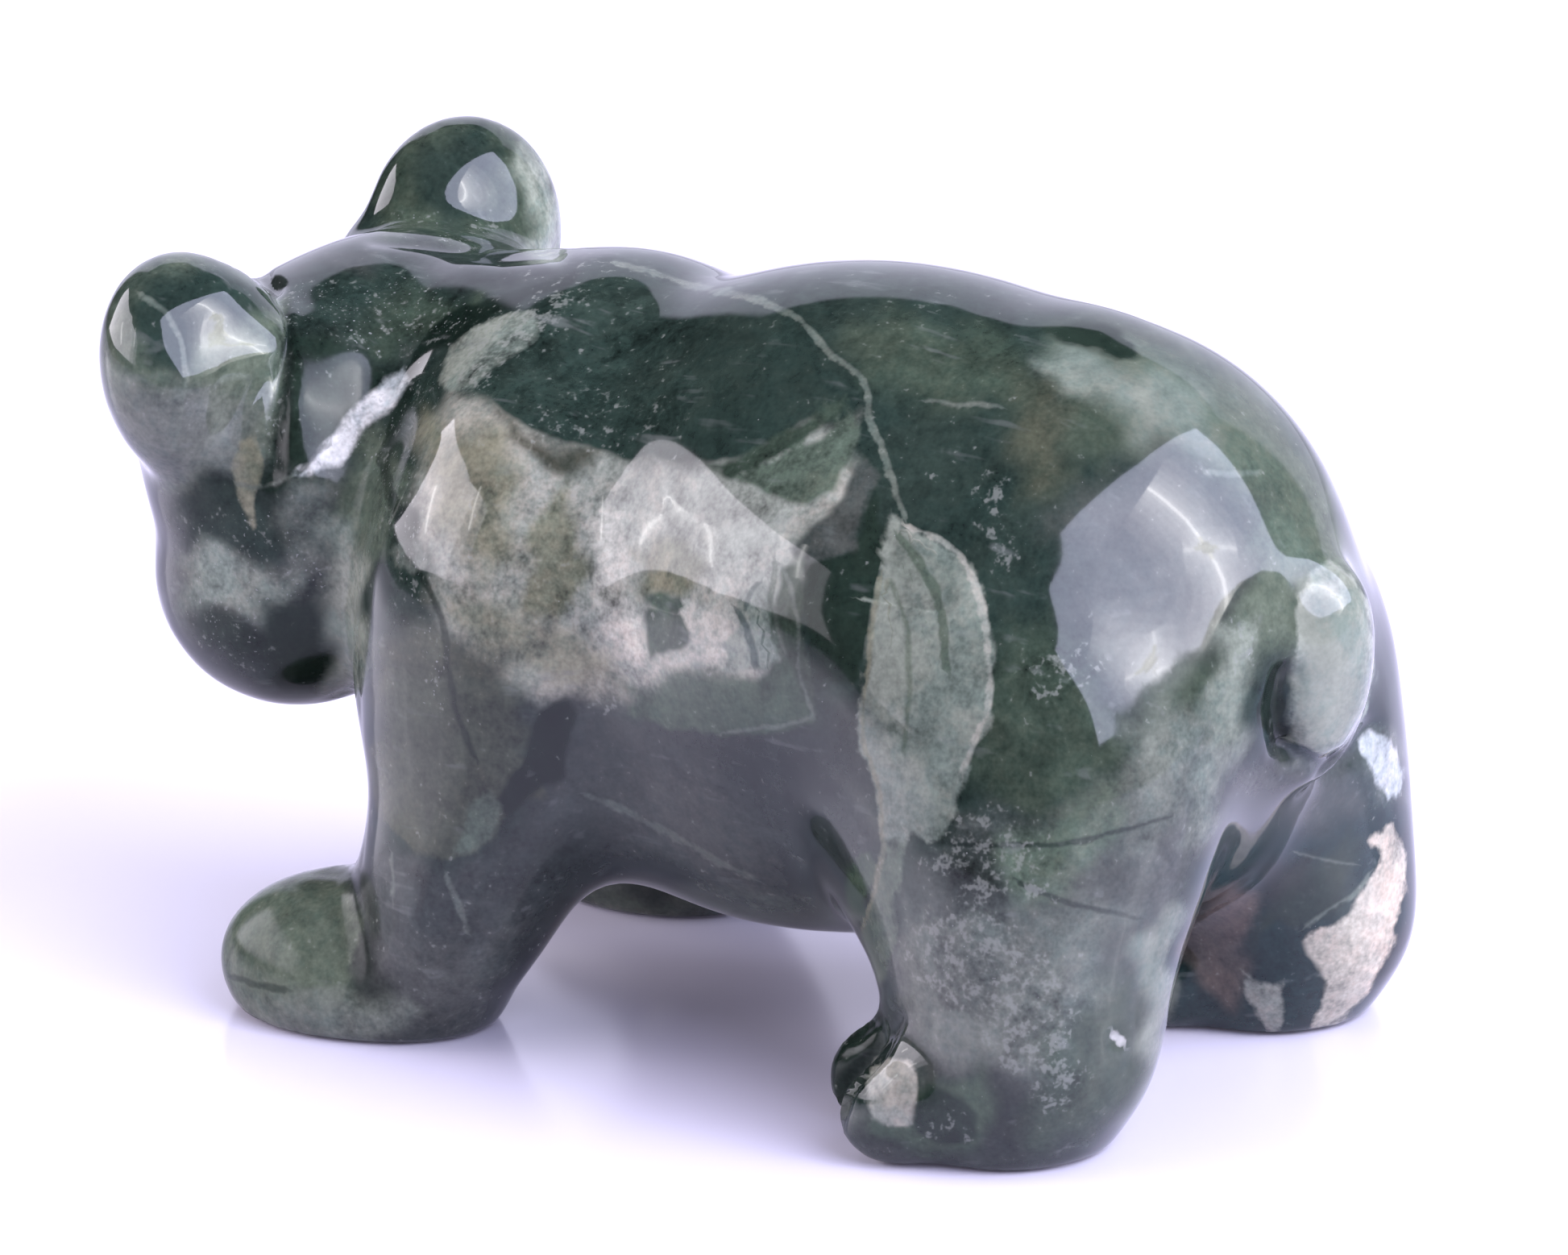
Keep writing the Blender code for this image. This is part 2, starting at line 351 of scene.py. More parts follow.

# %% [markdown]
# ## The stone's colours
#
# Seen from a step away the stone is dark green, but it is really made of some
# two dozen colours, from almost black to blush and milk white. Each is written
# as the share of red, green and blue light that the bare stone gives back,
# without the shine that lies over it. A few areas also use them for painted
# shade, painted highlights and a painted reflection.

# %% Palette
COLOURS = {
    "ink": (0.005, 0.010, 0.007),
    "deep green": (0.010, 0.018, 0.013),
    "dark green": (0.015, 0.025, 0.020),
    "moss": (0.031, 0.044, 0.031),
    "fern": (0.033, 0.051, 0.034),
    "sage": (0.065, 0.083, 0.061),
    "pale sage": (0.095, 0.112, 0.092),
    "mint": (0.156, 0.177, 0.146),
    "pale mint": (0.177, 0.204, 0.167),
    "tan": (0.205, 0.208, 0.176),
    "pale tan": (0.232, 0.232, 0.196),
    "cream": (0.290, 0.278, 0.235),
    "khaki": (0.118, 0.120, 0.085),
    "olive": (0.040, 0.046, 0.031),
    # Warm brown only paints the shade under the hump.
    "warm brown": (0.037, 0.039, 0.029),
    "mauve": (0.074, 0.060, 0.050),
    "slate": (0.023, 0.029, 0.026),
    "dark slate": (0.015, 0.020, 0.018),
    "pale slate": (0.038, 0.044, 0.039),
    "ash": (0.082, 0.094, 0.079),
    "teal": (0.010, 0.023, 0.023),
    "blush": (0.354, 0.309, 0.252),
    "bone": (0.204, 0.203, 0.173),
    "celadon": (0.122, 0.140, 0.116),
    # Milk only paints the highlight on the right leg.
    "milk": (0.285, 0.295, 0.290),
    "quartz": (0.340, 0.350, 0.340),
}
print(len(COLOURS), "colours")

# %% [markdown]
# ## The ground of the stone
#
# First come the soft areas, laid like watercolour over dark green. Each has a
# colour, the reach in pixels of the fade on either side of its edge, and an
# outline in the picture. Later ones lie over earlier ones. A few of them are
# painted shade, a painted highlight and a painted reflection rather than the
# stone's own colour. They become one colour attribute.

# %% Soft areas of the back and the haunch
BACK_AREAS = [
    ("loin", "moss", 26, [(1050, 402), (1130, 396), (1260, 420), (1290, 470), (1240, 505), (1150, 500),
        (1075, 480)]),
    ("rump light", "sage", 45, [(1310, 430), (1420, 415), (1560, 490), (1650, 600), (1690, 720),
        (1600, 650), (1500, 570), (1400, 540), (1330, 500)]),
    ("pale patch of the rump", "celadon", 22, [(1290, 440), (1370, 440), (1440, 470), (1440, 520),
        (1370, 500), (1310, 490)]),
    ("green under it", "moss", 18, [(1320, 500), (1380, 505), (1400, 545), (1370, 580), (1330, 560)]),
    ("rump glow", "celadon", 30, [(1395, 470), (1480, 480), (1510, 545), (1430, 545)]),
    ("stain", "olive", 30, [(1255, 470), (1300, 470), (1325, 520), (1320, 600), (1270, 610)]),
    ("middle of the haunch", "pale slate", 40, [(1310, 640), (1440, 560), (1620, 680), (1500, 800),
        (1380, 880)]),
    ("green of the haunch", "moss", 26, [(1440, 860), (1520, 790), (1560, 780), (1530, 870), (1440, 930)]),
    ("buttock", "sage", 26, [(1560, 640), (1640, 620), (1690, 720), (1600, 810), (1540, 800)]),
    ("green of the thigh", "moss", 24, [(1236, 800), (1300, 760), (1380, 890), (1400, 960), (1320, 1010),
        (1235, 1000), (1195, 960)]),
]
print(len(BACK_AREAS), "areas on the back and the haunch")

# %% Soft areas of the shoulder and the belly
SHOULDER_AREAS = [
    ("shoulder", "tan", 18, [(556, 486), (640, 520), (740, 560), (860, 585), (1000, 540), (1060, 520),
        (1050, 620), (990, 690), (965, 860), (780, 870), (700, 870), (640, 850), (560, 800), (530, 700),
        (512, 600)]),
    ("left of the shoulder", "khaki", 24, [(520, 510), (640, 540), (640, 700), (600, 720), (540, 640)]),
    # Painted shade under the hump, where the tan darkens toward the hump's border.
    ("painted shade under the hump", "warm brown", 14, [(618, 512), (660, 535), (745, 562), (735, 590), (690, 586),
        (640, 550)]),
    ("khaki wedge", "khaki", 10, [(692, 588), (716, 640), (724, 716), (705, 765), (660, 765), (646, 717),
        (664, 650)]),
    ("wisp", "khaki", 12, [(782, 680), (815, 665), (858, 676), (868, 720), (850, 745), (800, 735)]),
    ("lower shoulder", "khaki", 26, [(560, 740), (700, 770), (780, 860), (700, 850), (590, 830)]),
    ("lower edge", "fern", 14, [(770, 850), (860, 832), (970, 838), (1012, 882), (1010, 905), (900, 900),
        (820, 885)]),
    ("front leg top", "olive", 22, [(455, 800), (560, 780), (650, 860), (650, 930), (560, 950),
        (470, 930)]),
    ("belly", "slate", 16, [(650, 885), (710, 858), (800, 890), (900, 905), (1012, 905), (1085, 880),
        (1092, 1160), (820, 1160), (700, 1130), (690, 1220), (600, 1300), (440, 1300), (410, 1090),
        (470, 1050), (560, 1075), (620, 1055), (655, 985), (668, 930)]),
    ("belly light", "pale slate", 34, [(700, 960), (860, 950), (1000, 1080), (930, 1120), (760, 1050)]),
    ("flank shadow", "dark slate", 22, [(820, 905), (1000, 890), (1090, 850), (1092, 990), (960, 960),
        (860, 940)]),
    # Painted reflection: the white table lightens the lower edge of the belly, laid as ash.
    ("painted table reflection on the belly's edge", "ash", 16, [(720, 1110), (800, 1120), (900, 1100), (1000, 1120), (1060, 1130),
        (1040, 1160), (880, 1158), (740, 1130)]),
    ("ankle", "pale slate", 30, [(480, 1180), (640, 1150), (620, 1260), (480, 1280)]),
    ("paw", "sage", 14, [(260, 1100), (350, 1060), (420, 1080), (430, 1180), (400, 1300), (260, 1290)]),
    ("paw sole edge", "pale sage", 14, [(280, 1235), (420, 1222), (520, 1262), (460, 1300), (280, 1290)]),
]
print(len(SHOULDER_AREAS), "areas on the shoulder and the belly")

# %% Soft areas of the head
BACK_OF_SKULL = [(352, 432), (420, 426), (492, 452), (440, 530), (375, 590), (352, 580)]
HEAD_AREAS = [
    ("head", "slate", 20, [(180, 590), (330, 330), (450, 290), (700, 300), (560, 400), (440, 550),
        (405, 690), (437, 870), (300, 880), (180, 760)]),
    ("crown", "dark green", 12, [(345, 365), (400, 338), (480, 328), (545, 336), (600, 368), (530, 415),
        (490, 450), (420, 424), (350, 432)]),
    ("crown behind", "moss", 26, [(470, 372), (560, 372), (530, 412), (500, 440), (455, 415)]),
    ("back of the skull", "deep green", 14, BACK_OF_SKULL),
    ("behind the ear", "dark green", 10, [(328, 480), (352, 470), (352, 580), (330, 590)]),
    ("under the ear", "deep green", 22, [(235, 590), (345, 590), (405, 620), (400, 690), (310, 700),
        (240, 660)]),
    ("temple", "ash", 20, [(350, 590), (410, 600), (405, 700), (360, 720)]),
    ("neck shade", "sage", 16, [(425, 590), (470, 520), (500, 600), (500, 660), (440, 700), (410, 660)]),
    ("cheek", "pale slate", 22, [(200, 610), (250, 620), (300, 700), (350, 705), (300, 790), (220, 770)]),
    ("cheek green", "dark green", 18, [(225, 615), (300, 600), (345, 640), (340, 690), (280, 700),
        (235, 670)]),
    ("pale cheek", "mint", 16, [(225, 690), (262, 680), (330, 700), (372, 735), (340, 770), (300, 752),
        (262, 760), (232, 735)]),
    ("cheek shadow", "deep green", 12, [(240, 765), (300, 760), (330, 790), (290, 830), (250, 800)]),
    ("jaw", "deep green", 18, [(330, 745), (420, 745), (440, 862), (350, 866), (315, 820)]),
    ("jaw point", "ink", 10, [(340, 822), (425, 818), (430, 862), (350, 862)]),
    ("left ear", "sage", 12, [(110, 480), (130, 390), (210, 305), (280, 325), (345, 360), (340, 560),
        (200, 610), (130, 560)]),
    ("left ear shade", "dark green", 18, [(140, 380), (200, 325), (280, 340), (330, 390), (260, 420),
        (225, 480), (180, 440)]),
    ("left ear below", "ash", 20, [(150, 480), (210, 470), (330, 500), (330, 570), (200, 600), (140, 550)]),
    ("right ear", "moss", 12, [(450, 292), (500, 170), (580, 130), (670, 165), (710, 310)]),
    ("right ear shade", "dark green", 18, [(520, 180), (590, 145), (620, 200), (600, 270), (540, 270),
        (515, 230)]),
    ("right ear edge", "pale mint", 16, [(640, 185), (690, 200), (705, 310), (650, 310), (660, 260)]),
    ("neck side", "mint", 16, [(405, 640), (440, 640), (450, 760), (440, 862), (410, 862), (405, 760)]),
    ("crown edge", "moss", 9, [(470, 432), (500, 402), (548, 372), (600, 354), (662, 342), (606, 366),
        (560, 384), (520, 410), (494, 440)]),
    ("nape", "dark slate", 16, [(560, 330), (700, 310), (760, 315), (700, 345), (600, 370)]),
]
print(len(HEAD_AREAS), "areas on the head")

# %% Soft areas of the hind legs
LEG_AREAS = [
    ("thigh", "pale slate", 24, [(1180, 1010), (1330, 1010), (1420, 930), (1530, 880), (1500, 1030),
        (1450, 1160), (1440, 1330), (1330, 1440), (1150, 1400), (1100, 1250), (1115, 1150)]),
    ("thigh light", "ash", 30, [(1400, 900), (1500, 880), (1480, 1010), (1400, 1050)]),
    ("back edge of the thigh", "pale sage", 14, [(1510, 770), (1560, 770), (1535, 930), (1500, 1020),
        (1470, 1060), (1495, 930)]),
    ("shin", "ash", 24, [(1130, 1130), (1400, 1130), (1390, 1300), (1200, 1330), (1120, 1240)]),
    ("heel", "pale slate", 20, [(1370, 1150), (1450, 1130), (1450, 1380), (1350, 1440), (1360, 1300)]),
    ("heel edge", "celadon", 14, [(1412, 1160), (1460, 1130), (1460, 1380), (1400, 1420), (1420, 1300)]),
    ("foot", "dark slate", 22, [(1060, 1385), (1200, 1330), (1340, 1380), (1330, 1460), (1100, 1470)]),
    ("foot green", "fern", 16, [(1075, 1390), (1140, 1350), (1215, 1330), (1240, 1400), (1200, 1440),
        (1100, 1435)]),
    ("heel green", "moss", 22, [(1300, 1290), (1400, 1200), (1420, 1330), (1350, 1420), (1270, 1420)]),
    ("knee green", "sage", 18, [(1230, 1040), (1330, 1010), (1400, 960), (1380, 1050), (1330, 1110),
        (1260, 1120)]),
    ("foot edge", "slate", 14, [(1060, 1410), (1200, 1435), (1330, 1420), (1300, 1470), (1080, 1470)]),
    ("dark toe", "deep green", 8, [(1015, 1310), (1090, 1250), (1112, 1270), (1070, 1340), (1040, 1390),
        (1015, 1360)]),
    ("right leg", "teal", 10, [(1575, 860), (1528, 990), (1495, 1090), (1462, 1172), (1450, 1290),
        (1650, 1300), (1770, 1250), (1790, 1050), (1700, 870)]),
    ("brown of the right leg", "mauve", 12, [(1472, 1140), (1500, 1110), (1530, 1090), (1556, 1104),
        (1548, 1150), (1552, 1200), (1530, 1246), (1496, 1226), (1474, 1190)]),
    ("green of the right leg", "dark green", 12, [(1560, 1140), (1600, 1090), (1650, 1070), (1670, 1030),
        (1690, 1060), (1660, 1120), (1610, 1150), (1590, 1200), (1564, 1190)]),
    ("slate of the right leg", "dark slate", 10, [(1556, 1120), (1590, 1075), (1640, 1050), (1630, 1090),
        (1580, 1130)]),
    ("right buttock", "pale slate", 26, [(1520, 930), (1600, 950), (1700, 930), (1690, 1010), (1600, 1030),
        (1520, 1040)]),
    ("right leg edge", "dark slate", 16, [(1735, 930), (1775, 1000), (1780, 1120), (1720, 1270),
        (1700, 1240), (1752, 1100)]),
    # Painted highlight: a soft pale halo round the bright reflection on the right leg.
    ("painted halo round the right leg's highlight", "ash", 18, [(1690, 920), (1730, 910), (1750, 980), (1720, 1000)]),
]
print(len(LEG_AREAS), "areas on the hind legs")

# %% [markdown]
# ## Sharp patches
#
# Where two kinds of stone meet, the border is sharp but never straight. For
# these patches the skin gets the distance in millimetres to the border of the
# nearest patch, positive inside, and that patch's colour. A distance is better
# than painted colour: it stays smooth between vertices, and the material can
# fray the border with fine noise that the mesh could never hold. Two of the
# patches are painted light, not stone: a painted shadow beside the tail and a
# painted highlight on the right leg.
#
# A vertex holds one patch of a layer only, the one that it lies deepest in. So
# there are two layers, and the patches of the upper one lie over the others.

# %% Lower layer of sharp patches
LOWER_PATCHES = [
    ("hump", "dark green", [(602, 488), (628, 508), (655, 535), (700, 549), (747, 558), (784, 567),
        (813, 562), (842, 575), (867, 577), (913, 567), (959, 543), (1001, 518), (1034, 500), (1052, 482),
        (1063, 467), (1034, 446), (1012, 425), (985, 396), (950, 378), (900, 368), (850, 360), (805, 344),
        (760, 331), (713, 346), (680, 378), (652, 408), (630, 440), (605, 466)]),
    ("valley", "ink", [(503, 466), (512, 432), (530, 406), (552, 386), (580, 374), (601, 368), (626, 362),
        (663, 350), (705, 338), (718, 332), (706, 350), (676, 362), (640, 375), (607, 388), (586, 407),
        (563, 421), (540, 430), (526, 444)]),
    ("dark corner", "deep green", [(997, 700), (1034, 692), (1060, 684), (1072, 640), (1086, 600),
        (1092, 640), (1100, 652), (1090, 717), (1080, 792), (1074, 846), (1009, 842), (997, 758)]),
    ("spindle", "celadon", [(1104, 632), (1124, 660), (1160, 668), (1192, 690), (1212, 722), (1222, 760),
        (1233, 815), (1232, 870), (1226, 905), (1200, 940), (1190, 1000), (1172, 1040), (1150, 1046),
        (1134, 1024), (1122, 1040), (1096, 1040), (1094, 985), (1076, 930), (1074, 860), (1081, 790),
        (1090, 717), (1098, 660)]),
    ("stripe", "sage", [(1098, 1046), (1120, 1046), (1115, 1100), (1112, 1160), (1098, 1215), (1078, 1236),
        (1064, 1180), (1070, 1140), (1086, 1100)]),
    ("crystals", "celadon", [(913, 742), (936, 726), (956, 720), (960, 772), (972, 817), (951, 837),
        (930, 830), (897, 833), (886, 815), (902, 795), (916, 778)]),
    ("blush", "blush", [(1702, 1040), (1722, 1026), (1745, 1048), (1744, 1100), (1727, 1170), (1699, 1230),
        (1664, 1272), (1622, 1280), (1636, 1250), (1646, 1215), (1622, 1192), (1615, 1166), (1630, 1154),
        (1652, 1149), (1676, 1134), (1690, 1110), (1714, 1066)]),
    ("blush corner", "bone", [(1540, 1200), (1560, 1214), (1576, 1217), (1600, 1212), (1594, 1246),
        (1581, 1282), (1563, 1256), (1548, 1230)]),
    ("pale toe", "bone", [(1070, 1338), (1082, 1318), (1100, 1309), (1124, 1316), (1142, 1328),
        (1137, 1372), (1130, 1396), (1100, 1396), (1082, 1384)]),
    ("tail", "mint", [(1608, 824), (1610, 760), (1628, 712), (1650, 700), (1684, 716), (1702, 770),
        (1704, 840), (1694, 890), (1676, 920), (1652, 940), (1626, 936), (1606, 930)]),
    # Painted shadow: the ink fills the dark undercut beside the tail.
    ("shaded hollow beside the tail", "ink", [(1562, 880), (1580, 838), (1603, 815), (1604, 934), (1588, 926), (1572, 906)]),
    # Painted highlight: the bright reflection on the right leg, laid in milk white.
    ("painted highlight on the right leg", "milk", [(1688, 922), (1706, 906), (1730, 924), (1740, 955), (1738, 985),
        (1722, 990), (1706, 962)]),
    ("leaf", "khaki", [(290, 572), (300, 552), (314, 546), (323, 566), (320, 600), (314, 650), (302, 626),
        (291, 600)]),
    ("elbow lobe", "olive", [(455, 930), (461, 987), (483, 1031), (517, 1059), (550, 1067), (594, 1059),
        (614, 1040), (624, 1010), (652, 990), (676, 984), (668, 950), (640, 930), (600, 900), (520, 890)]),
    ("dark oval", "deep green", [(1296, 410), (1330, 404), (1380, 408), (1412, 424), (1412, 442),
        (1392, 449), (1350, 436), (1318, 424)]),
    ("paw green", "sage", [(368, 1112), (402, 1094), (424, 1098), (430, 1150), (428, 1220), (392, 1232),
        (356, 1226), (368, 1190), (362, 1150)]),
]
print(len(LOWER_PATCHES), "patches in the lower layer")

# %% Upper layer of sharp patches
UPPER_PATCHES = [
    ("quartz vein", "quartz", [(497, 448), (505, 470), (482, 502), (460, 525), (440, 548), (418, 574),
        (386, 588), (364, 588), (382, 574), (398, 556), (420, 534), (448, 506), (472, 476)]),
    ("dark half of the hump", "dark green", [(830, 400), (900, 395), (985, 420), (1030, 455), (1044, 472),
        (990, 500), (910, 520), (850, 520), (822, 470)]),
    ("strip under the hump", "moss", [(870, 578), (913, 571), (959, 548), (1001, 523), (1034, 505),
        (1052, 490), (1056, 498), (1040, 520), (1000, 545), (950, 572), (906, 594)]),
    ("green corner", "sage", [(908, 594), (955, 574), (1004, 547), (1044, 520), (1056, 512), (1064, 545),
        (1062, 566), (1050, 588), (1040, 616), (1006, 624), (960, 612)]),
    ("slate tongue", "pale slate", [(1056, 576), (1076, 570), (1090, 590), (1070, 640), (1060, 682),
        (1034, 690), (1000, 698), (984, 682), (1006, 656), (1030, 636), (1046, 606)]),
    ("frame", "fern", [(962, 820), (992, 822), (1016, 890), (965, 905), (900, 912), (830, 904), (780, 884),
        (800, 866), (860, 852), (930, 850)]),
    ("green band", "moss", [(968, 704), (996, 700), (996, 758), (1008, 842), (1014, 884), (990, 872),
        (976, 830), (964, 770)]),
    ("cream streak", "cream", [(724, 650), (744, 630), (772, 640), (782, 668), (776, 706), (788, 742),
        (802, 780), (800, 824), (782, 828), (766, 800), (744, 792), (736, 740), (744, 700), (730, 676)]),
    ("tan branch", "pale tan", [(843, 744), (866, 752), (886, 786), (900, 806), (896, 826), (878, 828),
        (862, 796), (846, 770)]),
    ("green hollow", "moss", [(800, 752), (830, 762), (858, 768), (858, 792), (838, 806), (802, 822),
        (798, 790)]),
    ("green wisp", "fern", [(794, 732), (816, 738), (844, 742), (856, 754), (826, 760), (802, 750)]),
    ("pale strip", "celadon", [(546, 462), (560, 430), (588, 404), (620, 392), (660, 384), (664, 402),
        (650, 424), (618, 450), (590, 478), (560, 486)]),
    ("black spot", "ink", [(490, 640), (500, 624), (514, 632), (522, 662), (504, 672), (488, 664)]),
    ("ash spot", "ash", [(484, 680), (498, 668), (522, 674), (530, 700), (512, 712), (490, 702)]),
    ("lobe light", "sage", [(578, 1004), (604, 984), (622, 1000), (612, 1040), (594, 1058), (560, 1062),
        (570, 1036)]),
    ("belly shade", "ink", [(640, 958), (656, 926), (668, 890), (704, 866), (716, 884), (706, 920),
        (694, 962), (660, 985), (630, 1010), (620, 1000)]),
    ("spindle shade", "pale sage", [(1118, 668), (1150, 676), (1186, 704), (1196, 742), (1180, 752),
        (1150, 722), (1124, 724), (1104, 700)]),
    ("thigh corner", "fern", [(1062, 1070), (1082, 1050), (1088, 1080), (1074, 1120), (1062, 1140),
        (1052, 1100)]),
    ("dark spot of the right leg", "teal", [(1562, 1160), (1590, 1146), (1616, 1154), (1618, 1186),
        (1638, 1208), (1610, 1226), (1572, 1214), (1560, 1190)]),
    ("teal bite", "teal", [(1612, 1232), (1640, 1212), (1646, 1226), (1616, 1276), (1600, 1276)]),
    ("toe underside", "fern", [(1084, 1392), (1102, 1402), (1134, 1402), (1132, 1410), (1098, 1412),
        (1080, 1402)]),
    ("mottled toe", "deep green", [(1136, 1372), (1148, 1340), (1176, 1350), (1206, 1380), (1212, 1410),
        (1170, 1420), (1136, 1408)]),
]
print(len(UPPER_PATCHES), "patches in the upper layer")

# %% [markdown]
# ## Veins and cracks
#
# A thin line needs more care, because it is narrower than a quad. Here each
# vertex holds on which side of the line it lies and how far. That value runs
# straight through zero at the line, so it stays exact between vertices, and
# the material turns the crossing into a hairline. A second value says where
# there is a line at all.

# %% Lines
# Lines that run close to one another go in different sets, because each
# vertex holds the distance to one line of a set only.
LINES = [
    ("hump vein", "pale sage", 4.5, [(763, 326), (805, 336), (850, 352), (900, 362), (945, 373), (985, 390),
        (1010, 415), (1034, 441), (1063, 462), (1076, 484), (1078, 517), (1092, 550), (1106, 596),
        (1124, 640)]),
    ("quartz thread", "ash", 3.0, [(368, 588), (340, 600), (312, 606), (296, 600)]),
    ("ear vein", "pale sage", 3.0, [(178, 366), (208, 386), (226, 420), (232, 470), (226, 510),
        (214, 556)]),
    ("dotted line", "ink", 4.0, [(518, 708), (536, 740), (550, 775), (556, 830), (564, 880), (590, 940)]),
    ("loin thread", "ash", 2.5, [(1150, 497), (1168, 498), (1186, 504), (1215, 500), (1240, 505)]),
    ("rump streak", "pale sage", 3.0, [(1500, 584), (1526, 590), (1560, 586)]),
    ("upper crack", "dark slate", 3.0, [(1164, 1045), (1240, 1050), (1300, 1048), (1348, 1042),
        (1400, 1030), (1450, 1012)]),
    ("lower crack", "dark slate", 3.0, [(1262, 1094), (1300, 1110), (1340, 1126), (1408, 1139)]),
    ("belly thread", "ash", 4.0, [(728, 987), (770, 1003), (815, 1025), (860, 1050), (905, 1075),
        (940, 1092)]),
    ("leg thread", "ash", 4.0, [(556, 1090), (566, 1110), (574, 1138), (580, 1155)]),
    ("front scratch", "ash", 1.6, [(484, 1060), (486, 1088), (486, 1116)]),
    ("spindle scratch", "pale mint", 1.6, [(1073, 742), (1110, 752), (1160, 760)]),
    ("crystal crack", "teal", 4.0, [(914, 758), (926, 776), (932, 796), (938, 826)]),
    ("band edge", "fern", 4.0, [(962, 700), (956, 740), (962, 790), (976, 824)]),
    ("paw line", "deep green", 4.0, [(290, 1212), (320, 1222), (352, 1228)]),
    ("right leg thread", "ash", 1.5, [(1610, 1060), (1640, 1066), (1680, 1072)]),
]
SECOND_LINES = [
    ("frame", "ash", 2.5, [(968, 700), (984, 730), (990, 770), (992, 830), (1014, 888), (965, 902),
        (900, 908)]),
    ("spindle green", "fern", 6.0, [(1114, 664), (1138, 692), (1160, 730), (1172, 780), (1176, 830)]),
    ("spindle furrow", "sage", 3.5, [(1106, 720), (1126, 780), (1132, 860), (1126, 930)]),
    ("heel chip", "quartz", 7.0, [(1386, 1284), (1393, 1292)]),
    ("valley line", "ink", 6.5, [(508, 455), (530, 420), (560, 397), (600, 378), (640, 363), (680, 349),
        (714, 336)]),
    ("neck line", "ink", 7.0, [(502, 480), (486, 520), (476, 570), (482, 610), (500, 652), (512, 690)]),
    ("spindle rim", "pale tan", 4.0, [(1128, 652), (1166, 670), (1198, 696), (1214, 730), (1224, 772),
        (1228, 830), (1224, 890), (1206, 925), (1196, 960)]),
    ("spindle front", "khaki", 3.0, [(1093, 717), (1083, 790), (1077, 860), (1080, 925), (1097, 985),
        (1097, 1050), (1088, 1100), (1072, 1150)]),
    ("quartz slit", "ink", 3.5, [(372, 586), (388, 570), (405, 553)]),
    ("second crystal crack", "teal", 3.0, [(940, 724), (930, 738), (926, 752)]),
    ("right leg scratch", "pale sage", 2.5, [(1620, 1150), (1650, 1128), (1680, 1110), (1700, 1084)]),
]
print(len(LINES) + len(SECOND_LINES), "lines")

# %% [markdown]
# ## How busy the stone is
#
# Some areas are nearly plain and others are crowded with pale flecks. Three
# values are painted like the soft areas: the strength of the cloudy mottling,
# the amount of flecks as big as a grain of salt, and the amount of tiny
# bright sparkles.

